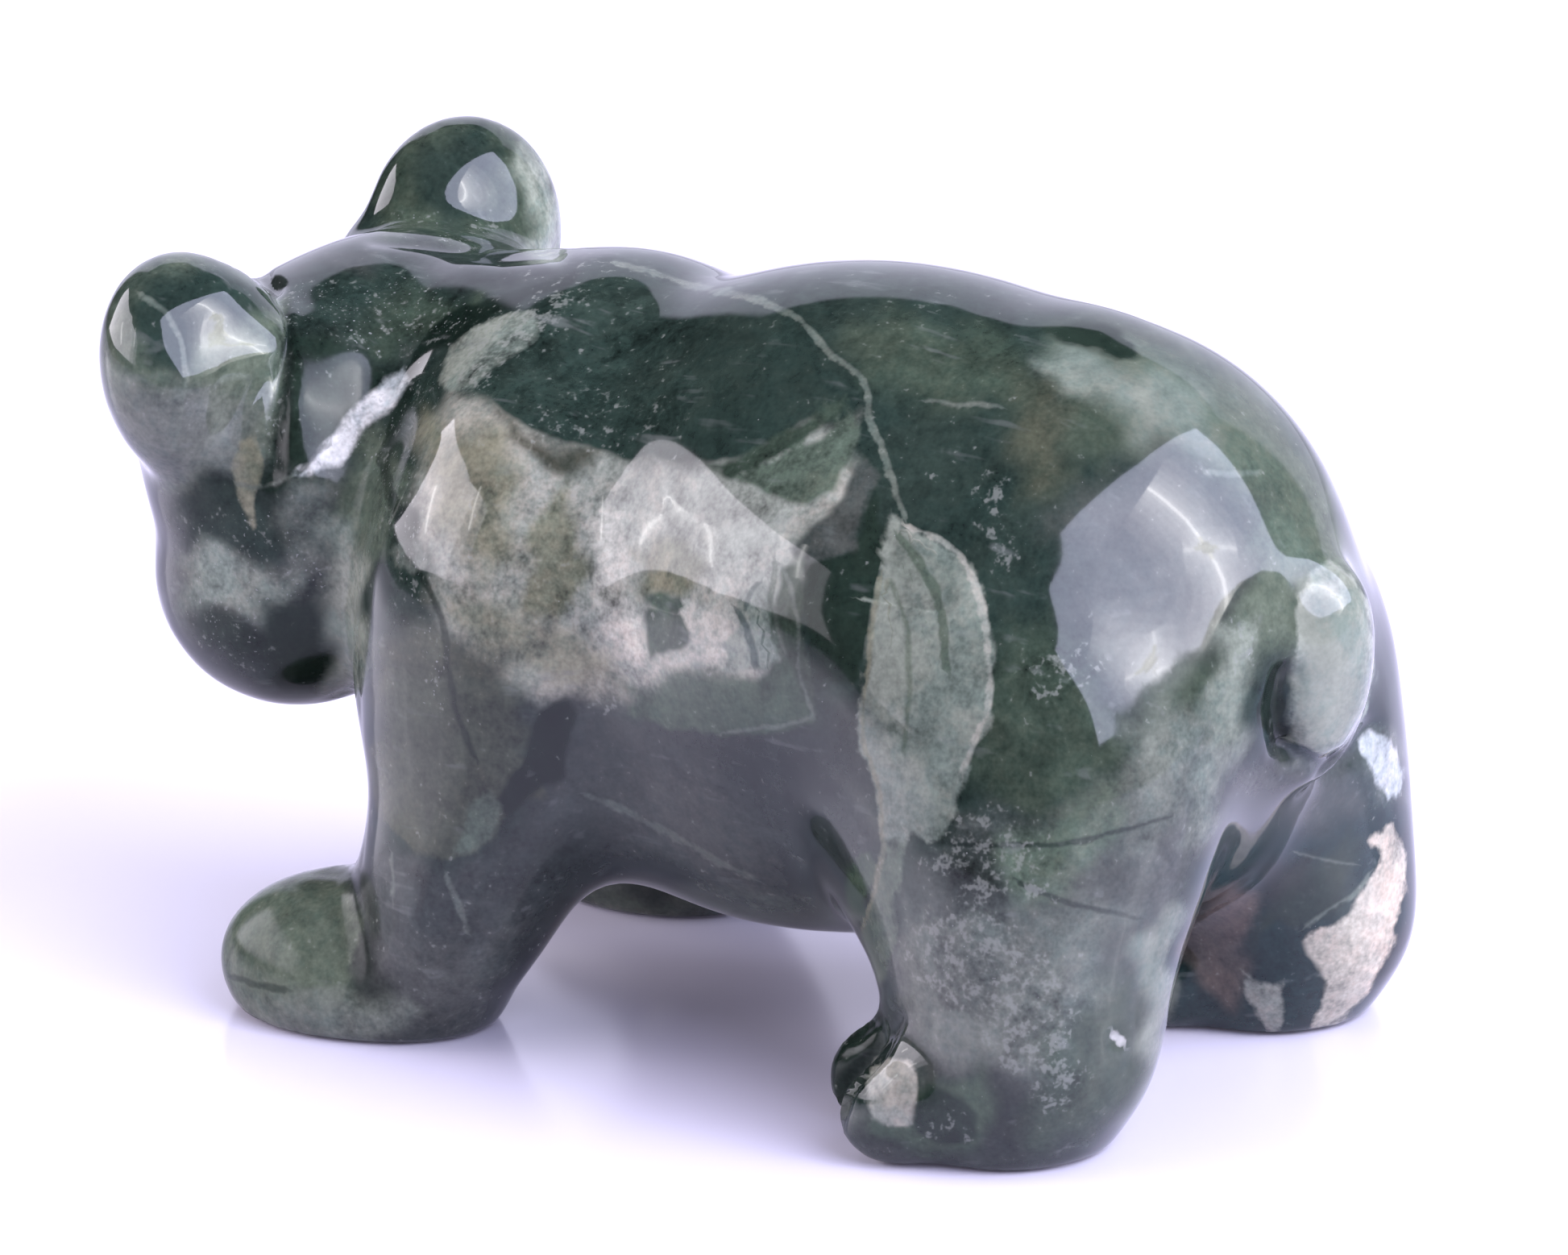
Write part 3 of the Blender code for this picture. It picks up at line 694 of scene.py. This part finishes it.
# %% Mottling, flecks and sparkles
ORDINARY = (0.75, 0.15, 0.2)
QUIET, PLAIN, MOTTLED = (0.35, 0.0, 0.1), (0.6, 0.12, 0.2), (1.0, 0.25, 0.4)
FLECKED, CROWDED, SPARKLING = (1.0, 0.55, 0.5), (1.1, 0.85, 0.6), (0.9, 0.45, 1.0)
TEXTURES = [
    ("hump", MOTTLED, 25, [(560, 490), (680, 380), (760, 335), (850, 400), (860, 560), (700, 545)]),
    ("hump edge", FLECKED, 14, [(640, 530), (700, 480), (830, 500), (840, 560), (747, 562)]),
    ("plain half of the hump", PLAIN, 22, [(860, 390), (1000, 420), (1050, 470), (960, 530), (870, 560)]),
    ("pale strip", CROWDED, 14, [(540, 470), (590, 395), (720, 335), (750, 340), (680, 410), (600, 486)]),
    ("nape flecks", FLECKED, 12, [(640, 340), (740, 312), (800, 330), (760, 350), (660, 360)]),
    ("shoulder", MOTTLED, 25, [(520, 600), (740, 600), (980, 700), (960, 860), (700, 870), (560, 800)]),
    ("belly", PLAIN, 25, [(650, 900), (1090, 890), (1090, 1150), (700, 1140)]),
    ("front leg", MOTTLED, 25, [(440, 1080), (690, 1080), (680, 1220), (600, 1300), (420, 1290)]),
    ("speckle chain", SPARKLING, 12, [(440, 540), (500, 460), (540, 470), (520, 560), (536, 700),
        (570, 880), (540, 880), (480, 700), (470, 620)]),
    ("crown", SPARKLING, 14, [(340, 350), (440, 345), (560, 345), (590, 380), (500, 455), (400, 430),
        (340, 440)]),
    ("ear crease", SPARKLING, 8, [(326, 360), (352, 350), (360, 590), (330, 590)]),
    ("right ear crease", SPARKLING, 8, [(462, 268), (540, 262), (615, 280), (620, 306), (480, 294)]),
    ("skull", MOTTLED, 12, [(356, 440), (490, 455), (430, 560), (360, 590)]),
    ("cheek", SPARKLING, 22, [(220, 640), (360, 620), (430, 760), (360, 860), (240, 800)]),
    ("jaw", QUIET, 14, [(330, 750), (430, 750), (430, 860), (340, 862)]),
    ("haunch flecks", CROWDED, 18, [(1200, 600), (1250, 590), (1265, 700), (1230, 720)]),
    ("thigh flecks", CROWDED, 18, [(1260, 810), (1350, 800), (1350, 860), (1280, 870)]),
    ("quiet rump", QUIET, 40, [(1300, 400), (1480, 430), (1620, 560), (1660, 700), (1500, 600),
        (1380, 560)]),
    ("plain haunch", PLAIN, 30, [(1300, 560), (1560, 560), (1640, 700), (1500, 880), (1380, 760)]),
    ("buttock flecks", CROWDED, 10, [(1524, 760), (1556, 755), (1556, 830), (1530, 830)]),
    ("upper leg flecks", CROWDED, 18, [(1164, 1020), (1240, 1005), (1300, 1030), (1304, 1110), (1220, 1120),
        (1160, 1080)]),
    ("middle leg flecks", CROWDED, 20, [(1134, 1120), (1200, 1110), (1310, 1180), (1330, 1270),
        (1230, 1280), (1140, 1230)]),
    ("lower leg flecks", CROWDED, 16, [(1226, 1262), (1338, 1258), (1340, 1370), (1300, 1384),
        (1240, 1330)]),
    ("rear of the leg", QUIET, 20, [(1370, 1150), (1450, 1130), (1450, 1400), (1370, 1400)]),
    ("mottled toe", FLECKED, 10, [(1136, 1350), (1210, 1380), (1210, 1420), (1140, 1410)]),
    ("right leg", QUIET, 20, [(1560, 1000), (1700, 940), (1700, 1120), (1560, 1150)]),
    ("tail", QUIET, 12, [(1606, 740), (1690, 730), (1690, 900), (1620, 930)]),
    ("white cluster", CROWDED, 8, [(733, 866), (772, 862), (776, 884), (740, 888)]),
]
print(len(TEXTURES), "textured areas")

# %% [markdown]
# ## Where the polish is weaker
#
# The wheel hardly reaches into the neck, round the ears, beside the tail or
# between the toes, so the stone is duller there. The head and the paw are a
# little duller too. Each area holds the share of the shine that is left.

# %% Dull areas
FULL_POLISH = 1.0
DULL_AREAS = [
    ("skull", 0.5, 10, BACK_OF_SKULL),
    ("paw", 0.3, 16, [(250, 1100), (350, 1050), (480, 1060), (480, 1250), (300, 1260), (250, 1200)]),
    ("neck", 0.25, 12, [(430, 500), (470, 470), (500, 500), (490, 600), (470, 680), (440, 870), (405, 870),
        (400, 640)]),
    ("under the ear", 0.35, 20, [(215, 590), (345, 585), (420, 600), (420, 710), (240, 700)]),
    ("cheek", 0.55, 25, [(210, 690), (430, 690), (430, 860), (330, 860), (220, 780)]),
    ("ear crease", 0.2, 6, [(330, 370), (352, 380), (358, 590), (332, 590)]),
    ("crown", 0.75, 20, [(345, 365), (560, 340), (600, 380), (500, 455), (400, 440)]),
    ("edge of the haunch", 0.25, 8, [(1660, 690), (1640, 700), (1508, 788), (1378, 884), (1400, 960),
        (1560, 900), (1600, 800), (1612, 740)]),
    ("shaded hollow beside the tail", 0.3, 8, [(1560, 880), (1580, 835), (1604, 812), (1606, 938), (1588, 930)]),
    ("second toe", 0.3, 8, [(1020, 1300), (1090, 1235), (1130, 1240), (1100, 1300), (1045, 1390),
        (1020, 1360)]),
]
print(len(DULL_AREAS), "dull areas")

# %% [markdown]
# ## Painting the skin
#
# The outlines now turn into attributes on the vertices. For the soft areas
# the picture is bent a little with slow waves first, so that borders wander
# instead of following the straight pieces of an outline.

# %% Paint both sides
FAR_ONLY, NEAR_ONLY = -0.25, 0.15
near_share = soft_step(facing, FAR_ONLY, NEAR_ONLY)
SIDES = ((near_side, near_share), (far_side, 1.0 - near_share))


def write_attribute(name, values):
    """Stores a number or a colour for each vertex."""
    if values.ndim == 1:
        layer = skin.attributes.new(name, "FLOAT", "POINT")
        layer.data.foreach_set("value", values.astype(np.float32))
    else:
        layer = skin.attributes.new(name, "FLOAT_COLOR", "POINT")
        filled = np.column_stack((values, np.ones(len(values))))
        layer.data.foreach_set("color", filled.ravel().astype(np.float32))


def wave(along, height, length, shift=0.0):
    """Gives a sine wave, in which one radian is length pixels long."""
    return height * np.sin(along / length + shift)


def wandering(column, row):
    """Bends the picture by a few pixels in slow waves."""
    bent_column = column + wave(row, height=7, length=17, shift=1.0) + wave(column + row, height=5, length=11)
    bent_row = row + wave(column, height=7, length=19) + wave(column - row, height=5, length=13, shift=2.0)
    return bent_column, bent_row


def painted(areas, start):
    """Lays soft areas one over the other, on the near side and the far side."""
    total = np.zeros((len(points), 3))
    for (column, row), side_share in SIDES:
        column, row = wandering(column, row)
        values = np.full((len(points), 3), start)
        for name, value, softness, outline in areas:
            value = np.array(COLOURS.get(value, value))
            share = soft_step(depth_inside(column, row, outline, softness), -softness, softness)
            values += share[:, None] * (value - values)
        total += side_share[:, None] * values
    return total


ground_areas = BACK_AREAS + SHOULDER_AREAS + HEAD_AREAS + LEG_AREAS
write_attribute("ground", painted(ground_areas, COLOURS["dark green"]))
write_attribute("texture", painted(TEXTURES, ORDINARY))
write_attribute("polish", painted(DULL_AREAS, FULL_POLISH)[:, 0])
print("the ground is painted on", len(points), "vertices")

# %% Measure the sharp patches
PATCH_REACH = 30
# The tail's patch and the painted shadow beside it are kept off the far side.
ONE_SIDE_ONLY = ("tail", "shaded hollow beside the tail")


def write_patches(layer_name, patches):
    """Stores the depth inside the nearest patch, in millimetres, and its colour."""
    depth_blend = np.zeros(len(points))
    colour_blend = np.zeros((len(points), 3))
    palette = np.array([COLOURS[colour] for name, colour, outline in patches])
    left_out = np.array([name in ONE_SIDE_ONLY for name, colour, outline in patches])
    for side, side_share in SIDES:
        depths = np.array([depth_inside(*side, outline, PATCH_REACH) for name, colour, outline in patches])
        if side is far_side:
            depths[left_out] = -PATCH_REACH
        depth_blend += side_share * depths.max(axis=0)
        colour_blend += side_share[:, None] * palette[depths.argmax(axis=0)]
    write_attribute(layer_name + " depth", depth_blend * PIXEL)
    write_attribute(layer_name + " colour", colour_blend)
    print(layer_name, "patches cover", int((depth_blend > 0).sum()), "vertices")


write_patches("lower", LOWER_PATCHES)
write_patches("upper", UPPER_PATCHES)

# %% Measure the lines
LINE_REACH = 22
FULL_WITHIN = 13
LINE_END = 14


def write_lines(set_name, lines):
    """Stores the signed distance to the nearest line, its half width, where it is and its colour."""
    near = near_share > 0.5
    column = np.where(near, near_side[0], far_side[0])
    row = np.where(near, near_side[1], far_side[1])
    closest = np.full(len(points), float(LINE_REACH))
    signed, half, presence = (np.zeros(len(points)) for number in range(3))
    colours = np.zeros((len(points), 3))
    for name, colour, half_width, route in lines:
        chosen = np.flatnonzero(near_route(column, row, route, LINE_REACH))
        away, side, past = side_of_line(column[chosen], row[chosen], route)
        nearer = away < closest[chosen]
        chosen, away, side, past = chosen[nearer], away[nearer], side[nearer], past[nearer]
        closest[chosen] = away
        signed[chosen] = side
        half[chosen] = half_width
        colours[chosen] = COLOURS[colour]
        presence[chosen] = soft_step(away, LINE_REACH, FULL_WITHIN) * soft_step(past, LINE_END, 0.0)
    write_attribute(set_name + " side", signed * PIXEL)
    write_attribute(set_name + " half width", half * PIXEL)
    write_attribute(set_name + " presence", presence * np.abs(2 * near_share - 1))
    write_attribute(set_name + " colour", colours)
    print(set_name, "touch", int((presence > 0).sum()), "vertices")


write_lines("lines", LINES)
write_lines("second lines", SECOND_LINES)

# %% [markdown]
# ## The stone
#
# The material reads the painted attributes and adds what the mesh is too
# coarse for: noise at several scales. The slow noises shade the colours, the
# middle ones fray every border, and the fine ones scatter pale flecks and
# tiny sparkles. Over it all lies the polish, a shine so sharp that the studio
# lamps mirror as clear shapes.

# %% Small helpers for the node tree
stone = bpy.data.materials.new("polished ornamental stone")
stone.use_nodes = True
tree = stone.node_tree
shader = tree.nodes["Principled BSDF"]
place = tree.nodes.new("ShaderNodeTexCoord")


def connect(value, socket):
    """Sets a socket to a number or colour, or links another socket to it."""
    if isinstance(value, bpy.types.NodeSocket):
        tree.links.new(value, socket)
    else:
        socket.default_value = value


def math_node(operation, first, second=0.0, third=0.0):
    """Works out one sum on up to three values."""
    node = tree.nodes.new("ShaderNodeMath")
    node.operation = operation
    for value, socket in zip((first, second, third), node.inputs):
        connect(value, socket)
    return node.outputs[0]


def weighted(*pairs):
    """Adds up values, each times its weight."""
    total = 0.0
    for value, weight in pairs:
        total = math_node("MULTIPLY_ADD", value, weight, total)
    return total


def noise(size, detail=2.0, roughness=0.55, distortion=0.0, stretch=None):
    """Noise whose blobs are about size millimetres across, centred on 0."""
    node = tree.nodes.new("ShaderNodeTexNoise")
    where = place.outputs["Object"]
    if stretch:
        mapping = tree.nodes.new("ShaderNodeMapping")
        connect(where, mapping.inputs["Vector"])
        mapping.inputs["Rotation"].default_value, mapping.inputs["Scale"].default_value = stretch
        where = mapping.outputs[0]
    connect(where, node.inputs["Vector"])
    node.inputs["Scale"].default_value = 1.0 / (size * MILLIMETRE)
    node.inputs["Detail"].default_value = detail
    node.inputs["Roughness"].default_value = roughness
    node.inputs["Distortion"].default_value = distortion
    return math_node("SUBTRACT", node.outputs["Fac"], 0.5)


def ramp(value, start, end):
    """Maps a value to 0 at start and 1 at end, with soft ends."""
    node = tree.nodes.new("ShaderNodeMapRange")
    node.interpolation_type = "SMOOTHSTEP"
    connect(value, node.inputs["Value"])
    connect(start, node.inputs["From Min"])
    connect(end, node.inputs["From Max"])
    return node.outputs[0]


def mix(share, below, above, way="MIX"):
    """Lays one colour over another. Sockets 6 and 7 of the node take colours, and 2 gives one."""
    node = tree.nodes.new("ShaderNodeMix")
    node.data_type = "RGBA"
    node.blend_type = way
    for number, value in ((0, share), (6, below), (7, above)):
        connect(value, node.inputs[number])
    return node.outputs[2]


def painted_value(name, output="Fac"):
    """Reads an attribute that was painted on the skin."""
    node = tree.nodes.new("ShaderNodeAttribute")
    node.attribute_name = name
    return node.outputs[output]


print("helpers are ready")

# %% Noise at several scales
STREAK_SLANT = (math.radians(-24), 0, 0)
STREAK_STRETCH = (1.0, 0.12, 1.0)

cloud = noise(5.0, detail=3.0, distortion=0.8)
mottle = noise(1.8, detail=2.5, roughness=0.55, distortion=0.8)
border = noise(1.5, detail=2.0, roughness=0.45)
grain = noise(0.45, detail=2.0, roughness=0.6)
fine = noise(0.18, detail=1.0)
tiny = noise(0.11, detail=0.0)
streaks = noise(0.55, detail=2.0, stretch=(STREAK_SLANT, STREAK_STRETCH))
print("seven noises")

# %% Lay the sharp patches and the lines over the ground
# The edges and the two frays are in millimetres. The swell is a share of a
# line's half width.
SHARP_EDGE = 0.12
SOFT_EDGE = 0.16
LINE_EDGE = 0.07
LINE_STRENGTH = 0.7

patch_fray = weighted((border, 0.9), (grain, 0.16), (fine, 0.06))
line_fray = weighted((border, 0.30), (grain, 0.10))
line_swell = weighted((mottle, 2.2), (grain, 1.6))


def over_patches(below, layer_name, edge):
    """Lays one layer of sharp patches over the colours so far."""
    depth = math_node("ADD", painted_value(layer_name + " depth"), patch_fray)
    share = ramp(depth, -edge, edge)
    return mix(share, below, painted_value(layer_name + " colour", "Color"))


def over_lines(below, set_name):
    """Draws one set of lines over the colours so far."""
    away = math_node("ABSOLUTE", math_node("ADD", painted_value(set_name + " side"), line_fray))
    half = painted_value(set_name + " half width")
    swollen = math_node("MULTIPLY_ADD", half, line_swell, half)
    share = ramp(math_node("SUBTRACT", swollen, away), -LINE_EDGE, LINE_EDGE)
    share = math_node("MULTIPLY", share, painted_value(set_name + " presence"))
    share = math_node("MULTIPLY", share, LINE_STRENGTH)
    return mix(share, below, painted_value(set_name + " colour", "Color"))


colour = painted_value("ground", "Color")
colour = over_patches(colour, "lower", SHARP_EDGE)
colour = over_patches(colour, "upper", SOFT_EDGE)
colour = over_lines(colour, "lines")
colour = over_lines(colour, "second lines")
print("nodes so far:", len(tree.nodes))

# %% Mottle, flecks and sparkles
COOL_TINT = (0.95, 1.02, 1.00, 1.0)
WARM_TINT = (1.05, 1.00, 0.96, 1.0)
FLECK_COLOUR = (0.17, 0.18, 0.16, 1.0)
SPARKLE_COLOUR = (0.26, 0.27, 0.26, 1.0)
STREAK_COLOUR = (0.13, 0.14, 0.13, 1.0)
TINT_CHANGE = (-0.15, 0.15)
STREAK_EDGE = (0.13, 0.30)
STREAK_STRENGTH = 0.35
DARKEST_SHADE = 0.25


def scatter(below, grains, amount, rarest, gain, edge, strength, spot_colour):
    """Puts spots where the grains rise over a limit: rarest at amount 0, and lower by gain at 1."""
    limit = math_node("MULTIPLY_ADD", amount, -gain, rarest)
    share = ramp(math_node("SUBTRACT", grains, limit), 0.0, edge)
    return mix(math_node("MULTIPLY", share, strength), below, spot_colour)


amounts = tree.nodes.new("ShaderNodeSeparateColor")
connect(painted_value("texture", "Color"), amounts.inputs[0])
mottling, flecking, sparkling = amounts.outputs[0], amounts.outputs[1], amounts.outputs[2]

tint = mix(ramp(weighted((cloud, 1.0), (grain, 0.6)), *TINT_CHANGE), COOL_TINT, WARM_TINT)
colour = mix(1.0, colour, tint, "MULTIPLY")
shade = weighted((cloud, 1.4), (mottle, 1.9), (grain, 1.2), (fine, 0.9))
brightness = math_node("MULTIPLY_ADD", shade, mottling, 1.0)
brightness = math_node("MAXIMUM", brightness, DARKEST_SHADE)
grey_shade = tree.nodes.new("ShaderNodeCombineColor")
for socket in grey_shade.inputs:
    connect(brightness, socket)
colour = mix(1.0, colour, grey_shade.outputs[0], "MULTIPLY")

colour = scatter(colour, weighted((grain, 0.8), (fine, 0.35)), flecking, rarest=0.18, gain=0.22, edge=0.14,
                 strength=0.55, spot_colour=FLECK_COLOUR)
streak_share = math_node("MULTIPLY", ramp(weighted((streaks, 1.0), (mottle, 0.5)), *STREAK_EDGE), mottling)
colour = mix(math_node("MULTIPLY", streak_share, STREAK_STRENGTH), colour, STREAK_COLOUR)
colour = scatter(colour, tiny, sparkling, rarest=0.43, gain=0.20, edge=0.10,
                 strength=0.5, spot_colour=SPARKLE_COLOUR)
print("nodes in all:", len(tree.nodes))

# %% The polish
SHINE = 0.5
STONE_IOR = 1.45
DULL_ROUGHNESS = 0.24
POLISHED_ROUGHNESS = 0.06

connect(colour, shader.inputs["Base Color"])
polish = painted_value("polish")
roughness = math_node("MULTIPLY_ADD", polish, POLISHED_ROUGHNESS - DULL_ROUGHNESS, DULL_ROUGHNESS)
connect(roughness, shader.inputs["Roughness"])
connect(math_node("MULTIPLY", polish, SHINE), shader.inputs["Specular IOR Level"])
connect(STONE_IOR, shader.inputs["IOR"])
skin.materials.clear()
skin.materials.append(stone)
for face in skin.polygons:
    face.use_smooth = True
print("the stone is polished")

# %% [markdown]
# ## Studio
#
# Two large softboxes stand on either side of the camera, raised above the
# animal. They are what mirrors in the polish: the bright four-cornered shapes
# on the haunch, the shoulder and the ears. Thin bright ribs cross each one,
# and panels of growing width in front of a rib give it a soft halo. A pale
# wall beyond the animal lights its edges, a weaker panel overhead fills the
# shadows and the rest of the room is nearly dark.

# %% Softboxes
# Two panels at one distance would not add up in a mirror, so each layer of a
# rib hangs one layer gap nearer than the one before.
LAMP_AWAY = 400 * MILLIMETRE
FIRST_GAP = 4 * MILLIMETRE
LAYER_GAP = 1 * MILLIMETRE
RIB_GAP = 8 * MILLIMETRE
RIB_TINT = (1.0, 0.98, 0.96)


def glowing_panel(name, middle, outward, turn, width, height, glow, tint):
    """Hangs one panel that faces the carving and shines equally from every point."""
    data = bpy.data.lights.new(name, "AREA")
    data.shape = "RECTANGLE"
    data.size = width
    data.size_y = height
    data.color = tint
    data.energy = glow * math.pi * width * height
    lamp = bpy.data.objects.new(name, data)
    lamp.location = middle
    lamp.rotation_euler = outward.to_track_quat("Z", "Y").to_euler()
    lamp.rotation_euler.rotate_axis("Z", turn)
    lamp.visible_camera = False
    bpy.context.scene.collection.objects.link(lamp)
    return lamp


def softbox(name, centre, height, tint, strips, ribs):
    """Builds a softbox from strips (left edge, right edge, glow) and ribs (start, end, layers)."""
    outward = towards(*centre)
    across = Vector((0, 0, 1)).cross(outward).normalized()
    upward = outward.cross(across)
    for number, (left, right, glow) in enumerate(strips):
        middle = AIM + outward * LAMP_AWAY + across * ((left + right) / 2 * MILLIMETRE)
        glowing_panel(f"{name} strip {number}", middle, outward, 0.0, (right - left) * MILLIMETRE,
                      height * MILLIMETRE, glow, tint)
    for number, (start, end, rib_layers) in enumerate(ribs):
        for layer, (thickness, glow) in enumerate(rib_layers):
            away = LAMP_AWAY - FIRST_GAP - layer * LAYER_GAP - number * RIB_GAP
            ends = [AIM + line * (away / line.dot(outward)) for line in (towards(*start), towards(*end))]
            run = ends[1] - ends[0]
            turn = math.atan2(run.dot(upward), run.dot(across))
            glowing_panel(f"{name} rib {number}, {thickness} wide", (ends[0] + ends[1]) / 2, outward, turn,
                          run.length, thickness * MILLIMETRE, glow, RIB_TINT)


# Edges, heights and thicknesses are in millimetres, and a layer of a rib is
# its thickness and its glow.
softbox("rear softbox", centre=(181, 38), height=360, tint=(0.72, 0.74, 1.0), strips=[(-270, 270, 8.0)],
        ribs=[((172.0, 53.5), (188.5, 11.5),
               [(9, 9.0), (28, 2.0), (56, 1.7), (92, 1.5), (134, 1.5), (180, 1.3), (240, 1.1)]),
              ((174, 29.5), (197, 22.5), [(8, 4.0), (22, 1.5), (44, 1.2), (80, 0.8)])])
softbox("front softbox", centre=(33, 21), height=230, tint=(0.95, 0.90, 1.0),
        strips=[(-310, 190, 6.1), (190, 250, 3.9), (250, 310, 2.2)],
        ribs=[((36, 12), (27, 24), [(8, 6.0), (22, 1.5), (44, 1.0)]),
              ((64, 36), (66, 20), [(8, 6.0), (24, 1.5)])])
print("the softboxes hang", round(LAMP_AWAY, 3), "m away")

# %% Fill light overhead
FILL_SIDE = 500 * MILLIMETRE
FILL_GLOW = 2.4
FILL_TINT = (0.86, 0.83, 1.0)
overhead = towards(round_degrees=302, up_degrees=75)
fill = glowing_panel("overhead fill", AIM + overhead * LAMP_AWAY, overhead, 0.0,
                     FILL_SIDE, FILL_SIDE, FILL_GLOW, FILL_TINT)
fill.visible_glossy = False
print("the fill is", round(FILL_SIDE, 2), "m wide")

# %% Table
TABLE_REACH = 3.0
TABLE_TOP = low.z - 0.02 * MILLIMETRE
BOARD = {
    "Base Color": (0.62, 0.595, 0.70, 1.0),
    "Roughness": 0.18,
    "Emission Color": (0.74, 0.68, 1.0, 1.0),
    "Emission Strength": 0.05,
}
table_shape = bmesh.new()
bmesh.ops.create_grid(table_shape, x_segments=1, y_segments=1, size=TABLE_REACH)
bmesh.ops.translate(table_shape, verts=table_shape.verts, vec=(0, 0, TABLE_TOP))
table_mesh = bpy.data.meshes.new("table")
table_shape.to_mesh(table_mesh)
table_shape.free()
table = bpy.data.objects.new("table", table_mesh)
bpy.context.scene.collection.objects.link(table)
gloss = bpy.data.materials.new("white glossy board")
gloss.use_nodes = True
for name, value in BOARD.items():
    gloss.node_tree.nodes["Principled BSDF"].inputs[name].default_value = value
table_mesh.materials.append(gloss)
print("the table lies at z =", round(TABLE_TOP, 5))

# %% [markdown]
# ## The room
#
# The pale wall is part of the world's light: it glows where a direction
# points away from the camera, within a sector and below a top edge. That top
# edge is sharp, and shows in the polish as a crisp step along the back.

# %% Wall of the room
WALL_MIDDLE = 288.5
WALL_EDGE = math.cos(math.radians(41.0)), math.cos(math.radians(36.0))
WALL_TOP = math.sin(math.radians(39.0))
WALL_TOP_BLUR = 0.012
JUST_OVER_ONE = 1.0001
WALL_GLOW = 1.35
ROOM_GLOW = 0.035
WALL_TINT = (0.80, 0.79, 1.0, 1.0)
SEEN_TINT = (0.97, 0.97, 1.0, 1.0)

world = bpy.data.worlds.new("room")
bpy.context.scene.world = world
world.use_nodes = True
tree = world.node_tree
backdrop = tree.nodes["Background"]
sight = tree.nodes.new("ShaderNodeTexCoord").outputs["Generated"]
parts = tree.nodes.new("ShaderNodeSeparateXYZ")
connect(sight, parts.inputs[0])
height = parts.outputs["Z"]
towards_wall = tree.nodes.new("ShaderNodeVectorMath")
towards_wall.operation = "DOT_PRODUCT"
connect(sight, towards_wall.inputs[0])
connect(towards(WALL_MIDDLE, 0.0), towards_wall.inputs[1])
level_part = math_node("SQRT", math_node("SUBTRACT", JUST_OVER_ONE, math_node("MULTIPLY", height, height)))
sector = ramp(math_node("DIVIDE", towards_wall.outputs["Value"], level_part), *WALL_EDGE)
sunk = math_node("MULTIPLY", height, -1.0)
below_top = ramp(sunk, -WALL_TOP - WALL_TOP_BLUR, -WALL_TOP + WALL_TOP_BLUR)
glow = math_node("MULTIPLY_ADD", math_node("MULTIPLY", sector, below_top), WALL_GLOW, ROOM_GLOW)
seen = tree.nodes.new("ShaderNodeLightPath").outputs["Is Camera Ray"]
connect(math_node("MAXIMUM", seen, glow), backdrop.inputs["Strength"])
connect(mix(seen, WALL_TINT, SEEN_TINT), backdrop.inputs["Color"])
bpy.context.scene.view_settings.view_transform = "Standard"
print("the world has", len(tree.nodes), "nodes")

# %% Put the carving in the frame
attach(panda, "root")
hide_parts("panda")
